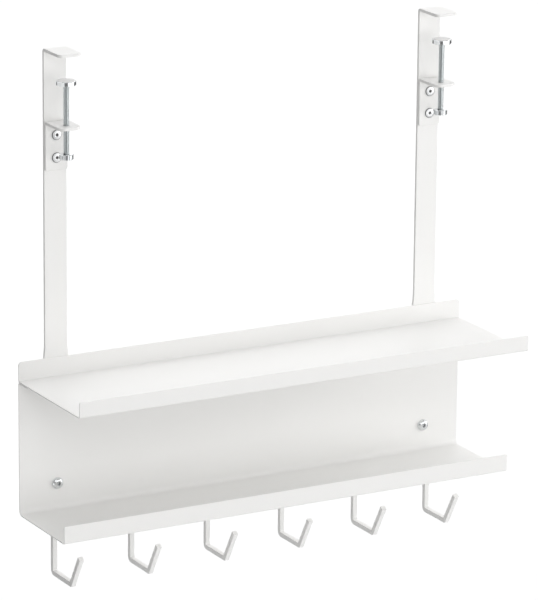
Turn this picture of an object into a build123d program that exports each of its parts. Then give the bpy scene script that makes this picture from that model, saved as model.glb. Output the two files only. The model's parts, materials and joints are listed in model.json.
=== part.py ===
"""Clamp-on rack: two arms grip a board from behind, and carry a folded back with two shelves and six hooks.

Frame: +X to the right, +Y towards the wall, +Z up. The origin is where the rack hangs: midway between the
arms, in the plane of the arms' front faces (the board's rear edge) and of the lips' undersides (its top face).
"""

from build123d import *
from math import cos, radians, sin, tan
import os

SIDES = {"left": -1, "right": 1}

# Sheet parts
RACK_WIDTH = 400.0
SHEET = 1.0
BEND = 0.8              # inside radius of a small bend
FOOT_BEND = 3.5         # inside radius where the back turns into the lower shelf
SHEET_EDGE = 0.25       # rounding that the coating leaves on a cut edge
SAME_LENGTH = 0.01
UPPER_SHELF_Z = -260.0  # top face
LOWER_SHELF_Z = -369.0  # top face
UPPER_DEPTH = 107.0     # from the back's front face to the lip's front face
LOWER_DEPTH = 79.5
UPPER_LIP = 13.0        # full height, from the shelf's underside
LOWER_LIP = 14.5
LIP_CORNER = 1.0
UPSTAND = 15.5          # above the upper shelf's top face
UPSTAND_CORNER = 3.0
WELD_FLANGE = 16.0      # depth of the back's flange under the upper shelf

# Arms and clamp brackets, cut from one flat bar
ARM_X = 167.0
BAR_WIDTH = 19.0
BAR = 2.3               # thickness
BAR_BEND = 0.7          # inside radius
BAR_EDGE = 0.35
ARM_FOOT_WIDTH = 20.6   # the arm widens a little where it meets the back
ARM_FOOT_TAPER = 9.0
ARM_BOTTOM_Z = -360.0
LIP_LENGTH = 27.5
LIP_ROUND = 3.0
LEDGE_Z = -55.0         # top face
LEDGE_LENGTH = 28.5
LEDGE_ROUND = 5.5
LEG_BOTTOM_Z = -94.0
LEG_ROUND = 1.5

# Clamp screw, knob and swivel pad
SCREW_Y = -19.3
SCREW_RADIUS = 2.5
RUNNING_GAP = 0.05      # radial clearance of parts that turn in each other
AXIAL_GAP = 0.1
NECK_RADIUS = 1.5
HEAD_RADIUS = 2.1
HEAD_HEIGHT = 1.1
PAD_TOP_Z = -19.5
CUP_RADIUS = 7.75
CUP_FLOOR = 1.2
CUP_ROOF = 0.5
RIM_HEIGHT = 0.5
RIM = 0.75
FACE_HEIGHT = 0.8
KNOB_RADIUS = 5.5
KNOB_HEIGHT = 4.2
KNOB_TOP_Z = -77.3
KNOB_FLUTES = 24
FLUTE_RADIUS = 0.35
SPIGOT_RADIUS = 1.9
SCREW_CHAMFER = 0.4

# Rivets, bolts and nuts
RIVET_Z = (-66.0, -84.0)
RIVET_RADIUS = 2.0
RIVET_HEAD_RADIUS = 4.0
RIVET_HEAD_HEIGHT = 1.1
RIVET_TAIL_RADIUS = 2.9
RIVET_TAIL = 4.0
MANDREL_RADIUS = 1.15
MANDREL_RECESS = 0.6
MANDREL_END = 0.8       # left solid behind the mandrel
BOLT_Z = (-274.0, -348.0)
BOLT_RADIUS = 2.5
BOLT_HOLE = 2.75
BOLT_LENGTH = 8.0
BOLT_HEAD_RADIUS = 4.75
BOLT_HEAD_HEIGHT = 2.75
BOLT_HEAD_FLAT = 2.3    # radius of the flat round the socket
BOLT_HEAD_RIM = 0.5
SOCKET_FLATS = 3.0
SOCKET_DEPTH = 1.6
NUT_FLATS = 8.0
NUT_HEIGHT = 4.0
FIT_GAP = 0.05          # between a fastener and its hole, where neither turns

# Hooks, bent from square bar
HOOK_COUNT = 6
HOOK_PITCH = 68.3
HOOK_BAR = 4.0
HOOK_EDGE = 0.4
HOOK_DROP = 53.1        # below the lower shelf's underside
HOOK_SEAT = 30.0        # depth of the bar's end welded under the shelf
HOOK_RUN = 36.2         # from the leg's rear face to the turned-up corner
HOOK_TIP = 30.8
HOOK_TIP_ANGLE = 60.0
HOOK_BEND_OUTER = 5.0
HOOK_BEND_INNER = 1.0
HOOK_NOSE_OUTER = 2.0

PANEL_FRONT_Y = -SHEET
CUP_TOP_Z = PAD_TOP_Z - FACE_HEIGHT + RIM_HEIGHT
CUP_BOTTOM_Z = PAD_TOP_Z - FACE_HEIGHT - CUP_ROOF - HEAD_HEIGHT - 2 * AXIAL_GAP - CUP_FLOOR
SOCKET_FLOOR_Z = CUP_BOTTOM_Z + CUP_FLOOR
SOCKET_ROOF_Z = PAD_TOP_Z - FACE_HEIGHT - CUP_ROOF

os.makedirs("parts", exist_ok=True)


def save(piece, name):
    """Label a finished piece and write it as its own STEP file."""
    piece.part.label = name
    export_step(piece.part, f"parts/{name}.step")


def facing_wall(x, z, y=0.0):
    """A plane at (x, y, z) whose normal points to the wall."""
    return Plane((x, y, z), x_dir=(1, 0, 0), z_dir=(0, 1, 0))


def folded_strip(middle_line, inside_radii, thickness, width, x=0.0):
    """A strip folded along middle_line, a list of (y, z) points, with its middle at x."""
    with BuildPart() as strip:
        with BuildSketch(Plane.YZ.offset(x)):
            with BuildLine():
                FilletPolyline(*middle_line, radius=[radius + thickness / 2 for radius in inside_radii])
            trace(line_width=thickness)
        extrude(amount=width / 2, both=True)
    return strip.part


def ease_sides(piece, thickness, radius):
    """Round the long edges of a strip's two flat side faces, and what continues them smoothly."""
    side_faces = piece.faces().filter_by(Axis.X).sort_by(Axis.X)
    outlines = side_faces[0].edges() + side_faces[-1].edges()
    fillet(outlines.filter_by(lambda edge: abs(edge.length - thickness) > SAME_LENGTH), radius)


def shelf_line(rear_points, depth, shelf_z, lip_height):
    """Middle line of a folded sheet: its rear part, then its shelf and its front lip."""
    middle = SHEET / 2
    lip_y = PANEL_FRONT_Y - depth + middle
    return [
        *rear_points,
        (-middle, shelf_z - middle),
        (lip_y, shelf_z - middle),
        (lip_y, shelf_z - SHEET + lip_height),
    ]


def round_lip_corners(sheet, radius):
    """Round the two top corners of a shelf's front lip."""
    corners = sheet.edges().filter_by(Axis.Y).group_by(Axis.Y)[0].group_by(Axis.Z)[-1]
    fillet(corners, radius)


def cylinders_through(holes, radius, depth):
    """Cut round holes on the planes in holes, deep enough each way."""
    with Locations(*holes):
        Cylinder(radius, 2 * depth, mode=Mode.SUBTRACT)


def make_back_panel():
    flange_z = UPPER_SHELF_Z - SHEET * 3 / 2
    flange = [(PANEL_FRONT_Y - WELD_FLANGE, flange_z), (-SHEET / 2, flange_z)]
    line = shelf_line(flange, LOWER_DEPTH, LOWER_SHELF_Z, LOWER_LIP)
    with BuildPart() as panel:
        add(folded_strip(line, [BEND, FOOT_BEND, BEND], SHEET, RACK_WIDTH))
        round_lip_corners(panel, LIP_CORNER)
        ease_sides(panel, SHEET, SHEET_EDGE)
        bolt_holes = [facing_wall(side * ARM_X, z) for side in SIDES.values() for z in BOLT_Z]
        cylinders_through(bolt_holes, BOLT_HOLE, 2 * SHEET)
    save(panel, "back_panel")


def make_upper_shelf():
    upstand = [(-SHEET / 2, UPPER_SHELF_Z + UPSTAND)]
    line = shelf_line(upstand, UPPER_DEPTH, UPPER_SHELF_Z, UPPER_LIP)
    with BuildPart() as shelf:
        add(folded_strip(line, [BEND, BEND], SHEET, RACK_WIDTH))
        round_lip_corners(shelf, LIP_CORNER)
        rear_top = shelf.edges().filter_by(Axis.Y).group_by(Axis.Y)[-1].group_by(Axis.Z)[-1]
        fillet(rear_top, UPSTAND_CORNER)
        ease_sides(shelf, SHEET, SHEET_EDGE)
    save(shelf, "upper_shelf")


def make_arm(side_name, x):
    """Flat bar: a lip over the board, then straight down behind the back, a little wider at its foot."""
    foot_z = UPPER_SHELF_Z + UPSTAND
    line = [(-LIP_LENGTH, BAR / 2), (BAR / 2, BAR / 2), (BAR / 2, ARM_BOTTOM_Z)]
    half, foot_half = BAR_WIDTH / 2, ARM_FOOT_WIDTH / 2
    with BuildPart() as arm:
        add(folded_strip(line, [BAR_BEND], BAR, BAR_WIDTH, x))
        with BuildSketch(Plane((x, 0, 0), x_dir=(1, 0, 0), z_dir=(0, -1, 0))):
            with BuildLine():
                Polyline(
                    (-half, foot_z + ARM_FOOT_TAPER),
                    (-foot_half, foot_z),
                    (-foot_half, ARM_BOTTOM_Z),
                    (foot_half, ARM_BOTTOM_Z),
                    (foot_half, foot_z),
                    (half, foot_z + ARM_FOOT_TAPER),
                    close=True,
                )
            make_face()
        extrude(amount=-BAR)
        fillet(arm.edges().filter_by(Axis.Z).group_by(Axis.Y)[0], LIP_ROUND)
        fillet(arm.edges().filter_by(Axis.Y).group_by(Axis.Z)[0], LIP_ROUND)
        cylinders_through([facing_wall(x, z) for z in RIVET_Z], RIVET_RADIUS + FIT_GAP, 2 * BAR)
        cylinders_through([facing_wall(x, z) for z in BOLT_Z], BOLT_HOLE, 2 * BAR)
    save(arm, f"{side_name}_arm")


def make_bracket(side_name, x):
    """Short L of flat bar: a leg riveted to the arm's front and a ledge with the tapped hole."""
    ledge_middle = LEDGE_Z - BAR / 2
    line = [(-LEDGE_LENGTH, ledge_middle), (-BAR / 2, ledge_middle), (-BAR / 2, LEG_BOTTOM_Z)]
    with BuildPart() as bracket:
        add(folded_strip(line, [BAR_BEND], BAR, BAR_WIDTH, x))
        fillet(bracket.edges().filter_by(Axis.Z).group_by(Axis.Y)[0], LEDGE_ROUND)
        fillet(bracket.edges().filter_by(Axis.Y).group_by(Axis.Z)[0], LEG_ROUND)
        ease_sides(bracket, BAR, BAR_EDGE)
        tapped_hole = Plane((x, SCREW_Y, LEDGE_Z))
        cylinders_through([tapped_hole], SCREW_RADIUS + RUNNING_GAP, 2 * BAR)
        cylinders_through([facing_wall(x, z) for z in RIVET_Z], RIVET_RADIUS + FIT_GAP, 2 * BAR)
    save(bracket, f"{side_name}_clamp_bracket")


def make_rivets(side_name, x):
    """Blind rivets: dome head, hollow shank and the tail that the mandrel swelled behind the arm."""
    face_y = -BAR
    tail_y = BAR
    with BuildPart() as rivets:
        for z in RIVET_Z:
            with BuildSketch(Plane((x, 0, z), x_dir=(1, 0, 0), z_dir=(0, 0, 1))):
                with BuildLine():
                    shoulder = (RIVET_HEAD_RADIUS, face_y)
                    crown = (MANDREL_RADIUS, face_y - RIVET_HEAD_HEIGHT)
                    Line((MANDREL_RADIUS, tail_y + RIVET_TAIL - MANDREL_END), crown)
                    TangentArc(crown, shoulder, tangent=(1, 0))
                    Polyline(
                        shoulder,
                        (RIVET_RADIUS, face_y),
                        (RIVET_RADIUS, tail_y),
                        (RIVET_TAIL_RADIUS, tail_y + RIVET_TAIL / 4),
                        (RIVET_TAIL_RADIUS, tail_y + RIVET_TAIL * 3 / 4),
                        (RIVET_RADIUS, tail_y + RIVET_TAIL),
                        (0, tail_y + RIVET_TAIL),
                        (0, tail_y + RIVET_TAIL - MANDREL_END),
                        (MANDREL_RADIUS, tail_y + RIVET_TAIL - MANDREL_END),
                    )
                make_face()
            revolve(axis=Axis((x, 0, z), (0, 1, 0)))
    save(rivets, f"{side_name}_clamp_rivets")

    mandrel_end_y = tail_y + RIVET_TAIL - MANDREL_END - AXIAL_GAP
    mandrel_front_y = face_y - RIVET_HEAD_HEIGHT + MANDREL_RECESS
    with BuildPart() as mandrels:
        for z in RIVET_Z:
            with BuildSketch(facing_wall(x, z, mandrel_front_y)):
                Circle(MANDREL_RADIUS - FIT_GAP)
            extrude(amount=mandrel_end_y - mandrel_front_y)
    save(mandrels, f"{side_name}_rivet_mandrels")


def make_clamp_screw(side_name, x):
    """Threaded rod with a spigot for the knob below, and a neck and head that carry the pad above."""
    shank_top = CUP_BOTTOM_Z - AXIAL_GAP
    head_bottom = SOCKET_FLOOR_Z + AXIAL_GAP
    head_top = head_bottom + HEAD_HEIGHT
    with BuildPart() as screw:
        with BuildSketch(Plane((x, SCREW_Y, 0), x_dir=(1, 0, 0), z_dir=(0, -1, 0))):
            with BuildLine():
                Polyline(
                    (0, KNOB_TOP_Z - KNOB_HEIGHT),
                    (SPIGOT_RADIUS, KNOB_TOP_Z - KNOB_HEIGHT),
                    (SPIGOT_RADIUS, KNOB_TOP_Z),
                    (SCREW_RADIUS, KNOB_TOP_Z),
                    (SCREW_RADIUS, shank_top - SCREW_CHAMFER),
                    (SCREW_RADIUS - SCREW_CHAMFER, shank_top),
                    (NECK_RADIUS, shank_top),
                    (NECK_RADIUS, head_bottom),
                    (HEAD_RADIUS, head_bottom),
                    (HEAD_RADIUS, head_top),
                    (0, head_top),
                    close=True,
                )
            make_face()
        revolve(axis=Axis((x, SCREW_Y, 0), (0, 0, 1)))
    save(screw, f"{side_name}_clamp_screw")


def make_clamp_knob(side_name, x):
    """Round knob with a fluted rim, closed on the screw's spigot."""
    bottom = KNOB_TOP_Z - KNOB_HEIGHT
    with BuildPart() as knob:
        with BuildSketch(Plane((x, SCREW_Y, bottom))):
            Circle(KNOB_RADIUS)
            Circle(SPIGOT_RADIUS + FIT_GAP, mode=Mode.SUBTRACT)
        extrude(amount=KNOB_HEIGHT)
        rim = knob.edges().filter_by(GeomType.CIRCLE).sort_by(SortBy.RADIUS)[-2:]
        chamfer(rim, SCREW_CHAMFER)
        with BuildSketch(Plane((x, SCREW_Y, bottom))):
            with PolarLocations(KNOB_RADIUS, KNOB_FLUTES):
                Circle(FLUTE_RADIUS)
        extrude(amount=KNOB_HEIGHT, mode=Mode.SUBTRACT)
    save(knob, f"{side_name}_clamp_knob")


def make_swivel_pad(side_name, x):
    """Steel cup that holds the screw's head, with a plastic face let into its top."""
    pocket_z = PAD_TOP_Z - FACE_HEIGHT
    pocket_radius = CUP_RADIUS - RIM
    with BuildPart() as cup:
        with BuildSketch(Plane((x, SCREW_Y, 0), x_dir=(1, 0, 0), z_dir=(0, -1, 0))):
            with BuildLine():
                Polyline(
                    (0, SOCKET_ROOF_Z),
                    (HEAD_RADIUS + RUNNING_GAP, SOCKET_ROOF_Z),
                    (HEAD_RADIUS + RUNNING_GAP, SOCKET_FLOOR_Z),
                    (NECK_RADIUS + RUNNING_GAP, SOCKET_FLOOR_Z),
                    (NECK_RADIUS + RUNNING_GAP, CUP_BOTTOM_Z),
                    (CUP_RADIUS - SCREW_CHAMFER, CUP_BOTTOM_Z),
                    (CUP_RADIUS, CUP_BOTTOM_Z + SCREW_CHAMFER),
                    (CUP_RADIUS, CUP_TOP_Z - SHEET_EDGE),
                    (CUP_RADIUS - SHEET_EDGE, CUP_TOP_Z),
                    (pocket_radius, CUP_TOP_Z),
                    (pocket_radius, pocket_z),
                    (0, pocket_z),
                    close=True,
                )
            make_face()
        revolve(axis=Axis((x, SCREW_Y, 0), (0, 0, 1)))
    save(cup, f"{side_name}_swivel_cup")

    with BuildPart() as face:
        with BuildSketch(Plane((x, SCREW_Y, pocket_z))):
            Circle(pocket_radius - FIT_GAP)
        extrude(amount=FACE_HEIGHT)
        fillet(face.edges().group_by(Axis.Z)[-1], SHEET_EDGE)
    save(face, f"{side_name}_pad_face")


def make_bolts(side_name, x):
    """Button-head bolts from the back's front face into nuts welded behind the arm."""
    with BuildPart() as bolts:
        for z in BOLT_Z:
            with BuildSketch(Plane((x, 0, z), x_dir=(1, 0, 0), z_dir=(0, 0, 1))):
                with BuildLine():
                    shoulder = (BOLT_HEAD_RADIUS, PANEL_FRONT_Y - BOLT_HEAD_RIM)
                    crown = (BOLT_HEAD_FLAT, PANEL_FRONT_Y - BOLT_HEAD_HEIGHT)
                    Line((0, PANEL_FRONT_Y - BOLT_HEAD_HEIGHT), crown)
                    TangentArc(crown, shoulder, tangent=(1, 0))
                    Polyline(
                        shoulder,
                        (BOLT_HEAD_RADIUS, PANEL_FRONT_Y),
                        (BOLT_RADIUS, PANEL_FRONT_Y),
                        (BOLT_RADIUS, PANEL_FRONT_Y + BOLT_LENGTH),
                        (0, PANEL_FRONT_Y + BOLT_LENGTH),
                        (0, PANEL_FRONT_Y - BOLT_HEAD_HEIGHT),
                    )
                make_face()
            revolve(axis=Axis((x, 0, z), (0, 1, 0)))
            with BuildSketch(facing_wall(x, z, PANEL_FRONT_Y - BOLT_HEAD_HEIGHT)):
                RegularPolygon(SOCKET_FLATS / 2, 6, major_radius=False)
            extrude(amount=SOCKET_DEPTH, mode=Mode.SUBTRACT)
    save(bolts, f"{side_name}_panel_bolts")

    with BuildPart() as nuts:
        for z in BOLT_Z:
            with BuildSketch(facing_wall(x, z, BAR)):
                RegularPolygon(NUT_FLATS / 2, 6, major_radius=False)
                Circle(BOLT_RADIUS + FIT_GAP, mode=Mode.SUBTRACT)
            extrude(amount=NUT_HEIGHT)
    save(nuts, f"{side_name}_weld_nuts")


def make_hook(number):
    """Square bar: a seat under the lower shelf, a leg down, a run forward and a tip that leans forward."""
    x = (number - (HOOK_COUNT + 1) / 2) * HOOK_PITCH
    top = LOWER_SHELF_Z - SHEET
    bottom = top - HOOK_DROP
    lean = radians(HOOK_TIP_ANGLE)
    corner_shift = HOOK_BAR * tan(lean / 2)
    nose = (-HOOK_RUN, bottom)
    tip_outer = (nose[0] - HOOK_TIP * cos(lean), bottom + HOOK_TIP * sin(lean))
    tip_inner = (tip_outer[0] + HOOK_BAR * sin(lean), tip_outer[1] + HOOK_BAR * cos(lean))
    seat_outer, heel_outer = (0, top), (0, bottom)
    seat_inner, heel_inner = (-HOOK_BAR, top - HOOK_BAR), (-HOOK_BAR, bottom + HOOK_BAR)
    nose_inner = (nose[0] + corner_shift, bottom + HOOK_BAR)
    with BuildPart() as hook:
        with BuildSketch(Plane.YZ.offset(x)) as side_view:
            with BuildLine():
                Polyline(
                    (-HOOK_SEAT, top),
                    seat_outer,
                    heel_outer,
                    nose,
                    tip_outer,
                    tip_inner,
                    nose_inner,
                    heel_inner,
                    seat_inner,
                    (-HOOK_SEAT, top - HOOK_BAR),
                    close=True,
                )
            make_face()
            bends = [
                (seat_outer, HOOK_BEND_OUTER),
                (heel_outer, HOOK_BEND_OUTER),
                (nose, HOOK_NOSE_OUTER),
                (nose_inner, HOOK_BEND_INNER),
                (heel_inner, HOOK_BEND_INNER),
                (seat_inner, HOOK_BEND_INNER),
            ]
            for (y, z), radius in bends:
                fillet(side_view.vertices().sort_by_distance((y, z, 0))[0], radius)
        extrude(amount=HOOK_BAR / 2, both=True)
        ease_sides(hook, HOOK_BAR, HOOK_EDGE)
    save(hook, f"hook_{number}")


make_back_panel()
make_upper_shelf()
for side_name, side in SIDES.items():
    arm_x = side * ARM_X
    make_arm(side_name, arm_x)
    make_bracket(side_name, arm_x)
    make_rivets(side_name, arm_x)
    make_clamp_screw(side_name, arm_x)
    make_clamp_knob(side_name, arm_x)
    make_swivel_pad(side_name, arm_x)
    make_bolts(side_name, arm_x)
for hook_number in range(1, HOOK_COUNT + 1):
    make_hook(hook_number)
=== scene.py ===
"""A white clamp-on rack with two shelves and six hooks, on a pale floor in soft studio light.

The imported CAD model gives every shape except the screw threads, the rivets and the welds, which
are built here. Each surface gets a procedural material. Metres throughout, in the row frame.
"""

import json
import math

import bmesh
import bpy
from mathutils import Matrix, Vector


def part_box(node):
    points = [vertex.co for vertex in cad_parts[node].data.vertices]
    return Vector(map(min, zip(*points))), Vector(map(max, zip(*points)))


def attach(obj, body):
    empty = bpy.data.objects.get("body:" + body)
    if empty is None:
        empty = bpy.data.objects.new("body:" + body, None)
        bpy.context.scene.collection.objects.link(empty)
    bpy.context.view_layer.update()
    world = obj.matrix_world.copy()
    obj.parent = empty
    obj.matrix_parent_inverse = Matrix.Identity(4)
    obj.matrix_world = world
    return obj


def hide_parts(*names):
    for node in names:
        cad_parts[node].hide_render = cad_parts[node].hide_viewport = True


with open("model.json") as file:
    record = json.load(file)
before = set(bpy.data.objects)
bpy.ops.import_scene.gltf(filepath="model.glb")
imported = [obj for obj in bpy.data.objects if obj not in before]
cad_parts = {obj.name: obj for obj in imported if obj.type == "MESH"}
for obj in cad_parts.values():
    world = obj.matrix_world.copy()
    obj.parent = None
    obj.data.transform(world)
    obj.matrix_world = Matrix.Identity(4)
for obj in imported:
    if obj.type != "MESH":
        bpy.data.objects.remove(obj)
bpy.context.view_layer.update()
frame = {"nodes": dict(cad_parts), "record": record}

MM = 0.001
SIDES = ("left", "right")
HOOKS = ("hook_1", "hook_2", "hook_3", "hook_4", "hook_5", "hook_6")
BAR = 2.3 * MM           # thickness of the arms and clamp brackets

# Camera: a long lens, from the rack's left and a little above it
CAMERA_PLACE = (-1.5612, -2.8680, 0.7046)
CAMERA_YAW = 28.903      # degrees, from +Y towards +X
CAMERA_PITCH = 15.807    # degrees, downwards
CAMERA_ROLL = 0.539      # degrees
LENS = 255.39            # mm

# Studio
RACK_MIDDLE = (0.0, 0.0, -0.2)
FLOOR_DEPTH = 2.2
FLOOR_SIZE = 120.0
SKY_DIM = 0.02           # behind the rack
SKY_FRONT = 0.43         # added in front of it
SKY_FRONT_WAY = (0, -0.95, 0.3)
# Softboxes: degrees to the right of straight in front, degrees up, distance, width, height, watts
SOFTBOXES = {
    "right_softbox": (60, 2, 3.0, 2.4, 1.8, 39),
    "front_softbox": (12, 2, 3.0, 2.6, 1.8, 20.5),
    "left_softbox": (-30, 35, 3.2, 1.6, 1.6, 14),
    "side_softbox": (85, 30, 2.6, 1.6, 1.6, 7),
    "top_softbox": (0, 88, 2.4, 2.0, 2.0, 9),
}
# Low panels that only reflections see, set out as the softboxes are
REFLECTED_PANELS = {
    "left_low_panel": (-65, -16, 3.0, 2.2, 1.5, 8),
    "left_rear_panel": (-114, -16, 3.0, 3.0, 1.5, 8),
}
# Grey cards that only reflections see: degrees round as above, distance, width
GREY_CARDS = {
    "rear_card": (180 - CAMERA_YAW, 1.2, 4.2),
    "right_card": (100, 1.2, 1.4),
    "front_card": (-CAMERA_YAW, 1.2, 0.85),
}
CARD_TOP = -0.13
CARD_HEIGHT = 1.5
# The softbox over the floor behind the rack
BACKDROP_PLACE = (4.2, 7.6, 3.0)
BACKDROP_SIZE = 14.0
BACKDROP_POWER = 850

# Clamp screws, M5. All but the pitch, lengths and heights are radii
PITCH = 0.8 * MM
THREAD_MAJOR = 2.44 * MM
THREAD_DEPTH = 0.49 * MM
CREST = 0.125            # shares of the pitch
ROOT = 0.25
FLANK = (1 - CREST - ROOT) / 2
SCREW_NECK = 1.5 * MM
SCREW_NECK_LENGTH = 1.7 * MM
SCREW_HEAD = 2.1 * MM
SCREW_HEAD_HEIGHT = 1.1 * MM
SCREW_EASE = 0.2 * MM    # rounding of its ends, and overlap of its pieces
SPIGOT = 1.9 * MM
GREASE = (1.9 * MM, 1.6 * MM)

# Blind rivets, from behind the arm to the dome: radius and distance out from the bracket's face
RIVET_PROFILE = (
    (1.2, -8.4), (2.2, -8.55), (2.8, -7.6), (2.85, -6.2), (2.5, -5.0), (1.98, -4.6), (1.98, 0.0),
    (3.3, 0.0), (3.72, 0.06), (3.8, 0.16), (3.97, 0.22), (4.0, 0.32), (3.97, 0.46), (3.8, 0.62),
    (3.3, 0.82), (2.6, 0.99), (1.9, 1.08), (1.5, 1.09), (1.3, 1.02), (1.22, 0.88), (1.2, 0.5),
)
# Radii over which the rivet head's rim is darkened, a painted shade
RIVET_RIM_SHADE = (3.5 * MM, 3.8 * MM)

# Welds under the lower shelf
WELD_LEG = 1.4 * MM
WELD_LENGTH = 12 * MM
WELD_RIPPLE = 1.0 * MM
WELD_FROM_REAR = (12 * MM, 27 * MM)
WELD_STEPS = 60
WELD_ARC = 6

ROUND = 32               # faces round one turn
SOFT_SAMPLES = {"Bevel": 4, "AmbientOcclusion": 6}


# ---------------------------------------------------------------- node helpers


def add_node(tree, kind, values=None, **settings):
    """Add a shader node. values fills its inputs, with sockets linked and numbers set."""
    node = tree.nodes.new("ShaderNode" + kind)
    for name, setting in settings.items():
        setattr(node, name, setting)
    for name, value in (values or {}).items():
        if isinstance(value, bpy.types.NodeSocket):
            tree.links.new(value, node.inputs[name])
        else:
            node.inputs[name].default_value = value
    return node


def calculate(tree, operation, first, second=0.0):
    """One step of arithmetic on sockets or numbers."""
    return add_node(tree, "Math", {0: first, 1: second}, operation=operation).outputs[0]


def noise(tree, place, size, detail=2.0, roughness=0.5):
    """Noise whose lumps are about size metres across, from 0 to 1."""
    values = {"Vector": place, "Scale": 1 / size, "Detail": detail, "Roughness": roughness}
    return add_node(tree, "TexNoise", values).outputs["Fac"]


def remap(tree, value, low, high, to_low=0.0, to_high=1.0):
    """Value from low to high becomes to_low to to_high, smoothly, and no further."""
    values = {"Value": value, 1: low, 2: high, 3: to_low, 4: to_high}
    return add_node(tree, "MapRange", values, interpolation_type="SMOOTHSTEP").outputs[0]


def mix_colours(tree, share, first, second):
    """The first colour where share is 0, the second where it is 1."""
    node = add_node(tree, "Mix", data_type="RGBA")
    for socket, value in ((node.inputs[0], share), (node.inputs[6], first), (node.inputs[7], second)):
        if isinstance(value, bpy.types.NodeSocket):
            tree.links.new(value, socket)
        else:
            socket.default_value = value
    return node.outputs[2]


def bump(tree, height, depth, normal=None):
    """A bump of depth metres where height goes from 0 to 1."""
    values = {"Height": height, "Distance": depth, "Strength": 1.0}
    if normal:
        values["Normal"] = normal
    return add_node(tree, "Bump", values).outputs["Normal"]


def grey(value, warmth=0.0):
    """An opaque grey, a little redder and less blue with warmth."""
    return (value * (1 + warmth), value, value * (1 - warmth), 1.0)


def edge_mask(tree, radius):
    """1 on edges that are rounded or sharp within radius, 0 on flat faces."""
    soft = add_node(tree, "Bevel", {"Radius": radius}, samples=SOFT_SAMPLES["Bevel"]).outputs[0]
    true = add_node(tree, "NewGeometry").outputs["True Normal"]
    likeness = add_node(tree, "VectorMath", {0: soft, 1: true}, operation="DOT_PRODUCT").outputs["Value"]
    return remap(tree, likeness, 0.99, 0.75)


def painted_recess_shade(tree, reach, start, full):
    """Mask for painted shade: 0 out in the open, 1 in recesses. start and full say how open a place is,
    within reach.
    """
    samples = SOFT_SAMPLES["AmbientOcclusion"]
    openness = add_node(tree, "AmbientOcclusion", {"Distance": reach}, samples=samples).outputs["AO"]
    return remap(tree, openness, start, full)


def length(tree, first, second):
    """Length of the vector with these two parts."""
    flat = add_node(tree, "CombineXYZ", {0: first, 1: second}).outputs[0]
    return add_node(tree, "VectorMath", {0: flat}, operation="LENGTH").outputs["Value"]


def off_centre(tree, value, middle, half_gap):
    """How far value is past the nearer of two places, half_gap to each side of middle."""
    if middle:
        value = calculate(tree, "SUBTRACT", value, middle)
    return calculate(tree, "SUBTRACT", calculate(tree, "ABSOLUTE", value), half_gap)


def new_material(name, **shader_values):
    """An empty material with its Principled shader, whose constants are set straight on it."""
    material = bpy.data.materials.new(name)
    material.use_nodes = True
    tree = material.node_tree
    shader = tree.nodes["Principled BSDF"]
    for socket, value in shader_values.items():
        shader.inputs[socket.replace("_", " ")].default_value = value
    place = add_node(tree, "TexCoord").outputs["Object"]
    return material, tree, shader, place


def connect(tree, shader, **sockets):
    """Link node outputs to the shader."""
    for name, socket in sockets.items():
        tree.links.new(socket, shader.inputs[name.replace("_", " ")])


# ------------------------------------------------------------------- materials


def make_white_coat():
    """Semi-gloss powder coat: orange peel, edges and creases greyed, partly a thinner film on the edges
    and partly painted shade, faint dust and handling.
    """
    material, tree, shader, place = new_material("white_coat", IOR=1.5)
    peel = noise(tree, place, 2.6 * MM, 1.0)
    grain = noise(tree, place, 0.35 * MM, 2.0)
    drift = noise(tree, place, 90 * MM, 2.0)
    rub = noise(tree, place, 14 * MM, 5.0, 0.65)
    edges = edge_mask(tree, 0.7 * MM)
    tint = mix_colours(tree, drift, (0.897, 0.894, 0.882, 1), (0.914, 0.909, 0.894, 1))
    tint = mix_colours(tree, remap(tree, rub, 0.62, 0.8, 0, 0.25), tint, grey(0.84, 0.01))
    # Painted shade: edges and creases greyed, partly for a thinner film on the edges.
    tint = mix_colours(tree, calculate(tree, "MULTIPLY", edges, 0.35), tint, grey(0.78))
    gloss = remap(tree, rub, 0.3, 0.75, 0.30, 0.42)
    surface = bump(tree, peel, 0.035 * MM)
    surface = bump(tree, grain, 0.004 * MM, surface)
    connect(tree, shader, Base_Color=tint, Roughness=gloss, Normal=surface)
    return material


def distance_from_screw(tree, place, axis):
    """Distance from the nearer clamp screw's axis. axis is the right-hand one."""
    parts = add_node(tree, "SeparateXYZ", {0: place}).outputs
    sideways = off_centre(tree, parts[0], 0, axis.x)
    return length(tree, sideways, calculate(tree, "SUBTRACT", parts[1], axis.y))


def distance_from_rivet(tree, place, rivets):
    """Distance from the nearest rivet's axis.

    rivets holds the x of the right-hand rivets, their middle height and half the gap between them.
    """
    parts = add_node(tree, "SeparateXYZ", {0: place}).outputs
    sideways = off_centre(tree, parts[0], 0, rivets.x)
    return length(tree, sideways, off_centre(tree, parts[2], rivets.y, rivets.z))


def make_zinc(axis):
    """Bright zinc on turned steel: fine lathe rings, faint passivation tint, painted shade in recesses.
    """
    material, tree, shader, place = new_material("zinc_steel", Metallic=1.0)
    radius = distance_from_screw(tree, place, axis)
    height = add_node(tree, "SeparateXYZ", {0: place}).outputs[2]
    rings = add_node(tree, "CombineXYZ", {0: radius, 1: height}).outputs[0]
    lathe = noise(tree, rings, 0.12 * MM, 1.0)
    cloud = noise(tree, place, 3.5 * MM, 3.0, 0.6)
    edges = edge_mask(tree, 0.25 * MM)
    tint = mix_colours(tree, cloud, (0.72, 0.75, 0.765, 1), (0.82, 0.83, 0.835, 1))
    tint = mix_colours(tree, calculate(tree, "MULTIPLY", edges, 0.5), tint, grey(0.80))
    # Painted shade: recesses darkened where ambient occlusion finds them enclosed.
    recess_shade = painted_recess_shade(tree, 0.8 * MM, 0.95, 0.55)
    tint = mix_colours(tree, recess_shade, tint, (0.16, 0.17, 0.18, 1))
    gloss = remap(tree, cloud, 0.3, 0.7, 0.12, 0.18)
    surface = bump(tree, lathe, 0.004 * MM)
    connect(tree, shader, Base_Color=tint, Roughness=gloss, Normal=surface)
    return material


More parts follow.
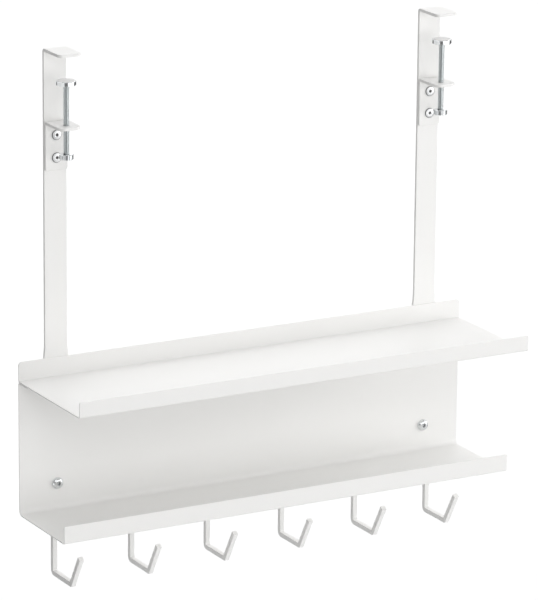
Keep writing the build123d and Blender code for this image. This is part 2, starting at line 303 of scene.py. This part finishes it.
def make_thread_zinc(axis):
    """Zinc on a rolled thread: bright on the crests, the roots duller and darkened with painted shade,
    the neck dark with grease.
    """
    material, tree, shader, place = new_material("zinc_thread", Metallic=1.0)
    radius = distance_from_screw(tree, place, axis)
    crest = remap(tree, radius, THREAD_MAJOR - THREAD_DEPTH, THREAD_MAJOR)
    cloud = noise(tree, place, 2 * MM, 3.0)
    # Painted shade: the thread roots darker than the crests.
    tint = mix_colours(tree, crest, (0.50, 0.525, 0.53, 1), (0.86, 0.89, 0.90, 1))
    tint = mix_colours(tree, calculate(tree, "MULTIPLY", cloud, 0.3), tint, (0.70, 0.74, 0.75, 1))
    tint = mix_colours(tree, remap(tree, radius, *GREASE), tint, grey(0.10))
    gloss = remap(tree, crest, 0.2, 1.0, 0.30, 0.15)
    surface = bump(tree, noise(tree, place, 0.15 * MM), 0.004 * MM)
    connect(tree, shader, Base_Color=tint, Roughness=gloss, Normal=surface)
    return material


def make_bolt_steel():
    """Plated steel: fine grain, scuffed brighter on its edges, painted shade in the hex socket."""
    material, tree, shader, place = new_material("bolt_steel", Metallic=1.0)
    grain = noise(tree, place, 0.25 * MM, 2.0)
    cloud = noise(tree, place, 2.2 * MM, 3.0, 0.6)
    edges = edge_mask(tree, 0.3 * MM)
    tint = mix_colours(tree, cloud, (0.74, 0.765, 0.78, 1), (0.84, 0.85, 0.855, 1))
    tint = mix_colours(tree, calculate(tree, "MULTIPLY", edges, 0.6), tint, grey(0.88))
    # Painted shade: the hex socket darkened where ambient occlusion finds it enclosed.
    tint = mix_colours(tree, painted_recess_shade(tree, 2 * MM, 0.55, 0.25), tint, grey(0.06))
    gloss = remap(tree, cloud, 0.3, 0.7, 0.18, 0.26)
    connect(tree, shader, Base_Color=tint, Roughness=gloss, Normal=bump(tree, grain, 0.004 * MM))
    return material


def make_aluminium(rivets):
    """Bright aluminium rivet head, with faint marks of the setting tool and painted shade on its rim."""
    material, tree, shader, place = new_material("rivet_aluminium", Metallic=1.0)
    marks = noise(tree, place, 0.3 * MM, 3.0, 0.6)
    cloud = noise(tree, place, 2.5 * MM, 2.0)
    radius = distance_from_rivet(tree, place, rivets)
    tint = mix_colours(tree, cloud, (0.86, 0.87, 0.88, 1), (0.93, 0.93, 0.93, 1))
    # Painted shade: the rim of the head darkened to near black.
    tint = mix_colours(tree, remap(tree, radius, *RIVET_RIM_SHADE), tint, (0.05, 0.054, 0.06, 1))
    gloss = remap(tree, marks, 0.3, 0.7, 0.38, 0.52)
    connect(tree, shader, Base_Color=tint, Roughness=gloss, Normal=bump(tree, marks, 0.006 * MM))
    return material


def make_mandrel_steel():
    """The rivet mandrel's torn end: dark, rough steel."""
    material, tree, shader, place = new_material("mandrel_steel", Metallic=0.8)
    tear = noise(tree, place, 0.4 * MM, 4.0, 0.7)
    tint = mix_colours(tree, tear, grey(0.06), grey(0.20))
    gloss = remap(tree, tear, 0.3, 0.7, 0.45, 0.7)
    connect(tree, shader, Base_Color=tint, Roughness=gloss, Normal=bump(tree, tear, 0.08 * MM))
    return material


def make_pad_plastic():
    """Matt moulded plastic with a fine spark-eroded grain."""
    material, tree, shader, place = new_material("pad_plastic", IOR=1.49, Subsurface_Weight=0.05)
    shader.inputs["Subsurface Radius"].default_value = (MM, MM, MM)
    grain = noise(tree, place, 0.2 * MM, 2.0)
    cloud = noise(tree, place, 4 * MM, 3.0)
    tint = mix_colours(tree, cloud, grey(0.85, 0.003), grey(0.89, 0.005))
    gloss = remap(tree, cloud, 0.3, 0.7, 0.48, 0.6)
    connect(tree, shader, Base_Color=tint, Roughness=gloss, Normal=bump(tree, grain, 0.015 * MM))
    return material


def make_card_paper():
    """Grey studio card."""
    material, tree, shader, place = new_material("card_paper", Roughness=0.9)
    cloud = noise(tree, place, 0.2, 2.0)
    connect(tree, shader, Base_Color=mix_colours(tree, cloud, grey(0.20), grey(0.22)))
    return material


def make_floor_paper():
    """Plain pale studio paper."""
    material, tree, shader, place = new_material("floor_paper", Roughness=0.9)
    cloud = noise(tree, place, 0.6, 2.0)
    connect(tree, shader, Base_Color=mix_colours(tree, cloud, grey(0.89), grey(0.91)))
    return material


# ------------------------------------------------------------- built-up pieces


def smooth(piece):
    """Smooth shading, for a piece with no sharp edges."""
    for polygon in piece.data.polygons:
        polygon.use_smooth = True


def make_object(name, made, material):
    """Turn a bmesh into an object of one material."""
    mesh = bpy.data.meshes.new(name)
    made.to_mesh(mesh)
    made.free()
    mesh.materials.append(material)
    piece = bpy.data.objects.new(name, mesh)
    bpy.context.scene.collection.objects.link(piece)
    return piece


def finish_piece(name, made, material, body):
    """Turn a bmesh into a piece that rides on a body."""
    piece = make_object(name, made, material)
    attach(piece, body)
    return piece


def revolve(made, place, profile, closed):
    """Skin a profile of (radius, height) round the local Z axis of place, capped unless closed."""
    loops = []
    for radius, height in profile:
        loop = []
        for step in range(ROUND):
            turn = 2 * math.pi * step / ROUND
            point = Vector((radius * math.cos(turn), radius * math.sin(turn), height))
            loop.append(made.verts.new(place @ point))
        loops.append(loop)
    pairs = list(zip(loops, loops[1:]))
    if closed:
        pairs.append((loops[-1], loops[0]))
    else:
        made.faces.new(reversed(loops[0]))
        made.faces.new(loops[-1])
    for lower, upper in pairs:
        for step in range(ROUND):
            after = (step + 1) % ROUND
            made.faces.new((lower[step], lower[after], upper[after], upper[step]))


def thread_radius(phase):
    """Radius of an M5 thread at a phase of its pitch, from 0 to 1: crest, flank, root, flank."""
    if phase < CREST:
        depth = 0.0
    elif phase < CREST + FLANK:
        depth = (phase - CREST) / FLANK
    elif phase < CREST + FLANK + ROOT:
        depth = 1.0
    else:
        depth = (1 - phase) / FLANK
    return THREAD_MAJOR - THREAD_DEPTH * depth


def add_thread(made, axis, low, high):
    """A right-hand thread between two heights, run out to nothing at its ends."""
    phases = (0.0, CREST, CREST + FLANK, CREST + FLANK + ROOT / 2, CREST + FLANK + ROOT)
    turns = math.ceil((high - low) / PITCH) + 1
    rows = [turn + phase for turn in range(-1, turns) for phase in phases]
    columns = []
    for step in range(ROUND + 1):
        share = step / ROUND
        turn = 2 * math.pi * share
        column = []
        for row in rows:
            height = min(max(low + (row + share) * PITCH, low), high)
            radius = thread_radius(row % 1.0)
            runout = THREAD_MAJOR - THREAD_DEPTH + min(height - low, high - height)
            radius = min(radius, runout)
            point = (axis.x + radius * math.cos(turn), axis.y + radius * math.sin(turn), height)
            column.append(made.verts.new(point))
        columns.append(column)
    for column, following in zip(columns, columns[1:]):
        for row in range(len(rows) - 1):
            made.faces.new((column[row], following[row], following[row + 1], column[row + 1]))
    bmesh.ops.remove_doubles(made, verts=made.verts, dist=0.0005 * MM)


def make_screw(side, material):
    """The whole clamp screw: swivel head and neck, threaded shank, spigot in the knob."""
    low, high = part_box(f"{side}_clamp_screw")
    axis = (low + high) / 2
    shank_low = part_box(f"{side}_clamp_knob")[1].z
    shank_high = high.z - SCREW_HEAD_HEIGHT - SCREW_NECK_LENGTH
    neck_high = high.z - SCREW_HEAD_HEIGHT
    ease = SCREW_EASE
    made = bmesh.new()
    add_thread(made, axis, shank_low, shank_high)
    place = Matrix.Translation((axis.x, axis.y, 0))
    head = [(SCREW_NECK, shank_high - ease), (SCREW_NECK, neck_high), (SCREW_HEAD, neck_high),
            (SCREW_HEAD, high.z - ease), (SCREW_HEAD - ease, high.z)]
    spigot = [(SPIGOT - ease, low.z), (SPIGOT, low.z + ease), (SPIGOT, shank_low + ease)]
    revolve(made, place, head, closed=False)
    revolve(made, place, spigot, closed=False)
    piece = finish_piece(f"{side}_threaded_screw", made, material, f"{side}_screw")
    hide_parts(f"{side}_clamp_screw")


def make_rivets(side, material):
    """Two blind rivets with a domed head, a shadow gap under its rim and a bulb behind the arm."""
    low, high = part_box(f"{side}_clamp_rivets")
    face_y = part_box(f"{side}_clamp_bracket")[1].y - BAR
    head_radius = max(radius for radius, out in RIVET_PROFILE) * MM
    profile = [(radius * MM, out * MM) for radius, out in RIVET_PROFILE]
    facing_front = Matrix.Rotation(math.pi / 2, 4, "X")
    made = bmesh.new()
    for height in (low.z + head_radius, high.z - head_radius):
        place = Matrix.Translation(((low.x + high.x) / 2, face_y, height)) @ facing_front
        revolve(made, place, profile, closed=True)
    piece = finish_piece(f"{side}_domed_rivets", made, material, "root")
    smooth(piece)
    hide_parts(f"{side}_clamp_rivets")


def weld_ripple(share):
    """Size of a weld bead along its length, from 0 to 1: rippled, and tapered at its ends."""
    taper = min(1.0, 6 * share, 6 * (1 - share))
    ripple = 0.9 + 0.1 * math.cos(2 * math.pi * share * WELD_LENGTH / WELD_RIPPLE)
    return max(0.15, math.sqrt(taper)) * ripple


def add_weld(made, corner, outward):
    """A fillet bead along Y in the corner between a hook's side and the shelf above it."""
    rows = []
    for step in range(WELD_STEPS + 1):
        share = step / WELD_STEPS
        size = WELD_LEG * weld_ripple(share)
        y = corner.y - WELD_LENGTH * share
        row = [made.verts.new((corner.x, y, corner.z))]
        for point in range(WELD_ARC + 1):
            turn = math.pi / 2 * point / WELD_ARC
            bulge = size * (0.72 + 0.28 * abs(math.cos(2 * turn)))
            x = corner.x + outward * bulge * math.cos(turn)
            row.append(made.verts.new((x, y, corner.z - bulge * math.sin(turn))))
        rows.append(row)
    count = WELD_ARC + 2
    for row, following in zip(rows, rows[1:]):
        for point in range(count):
            after = (point + 1) % count
            made.faces.new((row[point], row[after], following[after], following[point]))
    made.faces.new(rows[0])
    made.faces.new(reversed(rows[-1]))


def make_hook_welds(material):
    """Beads down both sides of each hook's seat, where it is welded under the lower shelf."""
    for hook in HOOKS:
        low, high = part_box(hook)
        made = bmesh.new()
        for side_x, outward in ((low.x, -1), (high.x, 1)):
            for rear in WELD_FROM_REAR:
                add_weld(made, Vector((side_x, high.y - rear + WELD_LENGTH / 2, high.z)), outward)
        bmesh.ops.recalc_face_normals(made, faces=made.faces)
        smooth(finish_piece(f"{hook}_welds", made, material, "root"))


# ----------------------------------------------------------------------- stage


def make_floor(material):
    """A wide sheet of paper under everything."""
    made = bmesh.new()
    bmesh.ops.create_grid(made, x_segments=4, y_segments=4, size=FLOOR_SIZE / 2)
    floor = make_object("studio_floor", made, material)
    floor.location.z = -FLOOR_DEPTH


def make_card(name, material, round_degrees, distance, width):
    """A studio card that gives the bright metal its dark outlines, seen only by reflections."""
    made = bmesh.new()
    turn = math.radians(round_degrees)
    away = Vector((math.sin(turn), -math.cos(turn), 0))
    along = Vector((-away.y, away.x, 0)) * width / 2
    low = CARD_TOP - CARD_HEIGHT
    corners = []
    for end, height in ((-1, CARD_TOP), (1, CARD_TOP), (1, low), (-1, low)):
        corners.append(made.verts.new(distance * away + end * along + Vector((0, 0, height))))
    made.faces.new(corners)
    card = make_object(name, made, material)
    card.visible_camera = False
    card.visible_diffuse = False
    card.visible_transmission = False
    card.visible_shadow = False


def make_world():
    """A dim studio that is more open at the front."""
    world = bpy.data.worlds.new("studio")
    world.use_nodes = True
    bpy.context.scene.world = world
    tree = world.node_tree
    way = add_node(tree, "TexCoord").outputs["Generated"]
    ahead = add_node(tree, "VectorMath", {0: way, 1: SKY_FRONT_WAY}, operation="DOT_PRODUCT")
    sky = remap(tree, ahead.outputs["Value"], -0.5, 0.9, SKY_DIM, SKY_DIM + SKY_FRONT)
    tree.links.new(sky, tree.nodes["Background"].inputs["Color"])


def make_softbox(name, place, aim, width, height, power):
    """A rectangular soft light at place, facing aim."""
    light = bpy.data.lights.new(name, "AREA")
    light.shape = "RECTANGLE"
    light.size = width
    light.size_y = height
    light.energy = power
    lamp = bpy.data.objects.new(name, light)
    lamp.location = place
    lamp.rotation_euler = (Vector(aim) - Vector(place)).to_track_quat("-Z", "Y").to_euler()
    lamp.visible_camera = False
    bpy.context.scene.collection.objects.link(lamp)
    return lamp


def make_softbox_round(name, round_degrees, up_degrees, distance, width, height, power):
    """A softbox at a direction and distance from the rack's middle, facing it."""
    turn, up = math.radians(round_degrees), math.radians(up_degrees)
    way = Vector((math.sin(turn) * math.cos(up), -math.cos(turn) * math.cos(up), math.sin(up)))
    middle = Vector(RACK_MIDDLE)
    return make_softbox(name, middle + distance * way, middle, width, height, power)


def make_lights():
    """Softboxes and low panels round the rack, and a softbox that whitens the floor behind it."""
    for name, settings in SOFTBOXES.items():
        make_softbox_round(name, *settings)
    for name, settings in REFLECTED_PANELS.items():
        make_softbox_round(name, *settings).visible_diffuse = False
    x, y, z = BACKDROP_PLACE
    below = (x, y, -FLOOR_DEPTH)
    make_softbox("backdrop_softbox", BACKDROP_PLACE, below, BACKDROP_SIZE, BACKDROP_SIZE, BACKDROP_POWER)


def make_camera():
    """The camera, with no shift and no depth of field."""
    data = bpy.data.cameras.new("camera")
    data.lens = LENS
    camera = bpy.data.objects.new("camera", data)
    turn = Matrix.Rotation(-math.radians(CAMERA_YAW), 4, "Z")
    tilt = Matrix.Rotation(math.radians(90 - CAMERA_PITCH), 4, "X")
    roll = Matrix.Rotation(math.radians(CAMERA_ROLL), 4, "Z")
    camera.matrix_world = Matrix.Translation(CAMERA_PLACE) @ turn @ tilt @ roll
    bpy.context.scene.collection.objects.link(camera)
    bpy.context.scene.camera = camera


# ---------------------------------------------------------------------- making


def screw_axis():
    """The middle of the right-hand clamp screw."""
    low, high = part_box("right_clamp_screw")
    return (low + high) / 2


def rivet_places():
    """The x of the right-hand rivets, their middle height and half the gap between them."""
    low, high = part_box("right_clamp_rivets")
    half_gap = (high.z - low.z) / 2 - (high.x - low.x) / 2
    return Vector(((low.x + high.x) / 2, (low.z + high.z) / 2, half_gap))


def dress_cad_nodes(materials):
    """Give every CAD node the finished material of its slot."""
    for part in frame["record"]["subparts"]:
        node = frame["nodes"][part["node"]]
        node.data.materials.clear()
        node.data.materials.append(materials[part["material_slot"]])


axis = screw_axis()
materials = {
    "white_coat": make_white_coat(),
    "zinc_steel": make_zinc(axis),
    "bolt_steel": make_bolt_steel(),
    "rivet_aluminium": make_aluminium(rivet_places()),
    "mandrel_steel": make_mandrel_steel(),
    "pad_plastic": make_pad_plastic(),
}
dress_cad_nodes(materials)
thread_zinc = make_thread_zinc(axis)
for side in SIDES:
    make_screw(side, thread_zinc)
    make_rivets(side, materials["rivet_aluminium"])
make_hook_welds(materials["white_coat"])

make_floor(make_floor_paper())
card_paper = make_card_paper()
for name, place in GREY_CARDS.items():
    make_card(name, card_paper, *place)
make_world()
make_lights()
make_camera()
bpy.context.scene.view_settings.view_transform = "Standard"
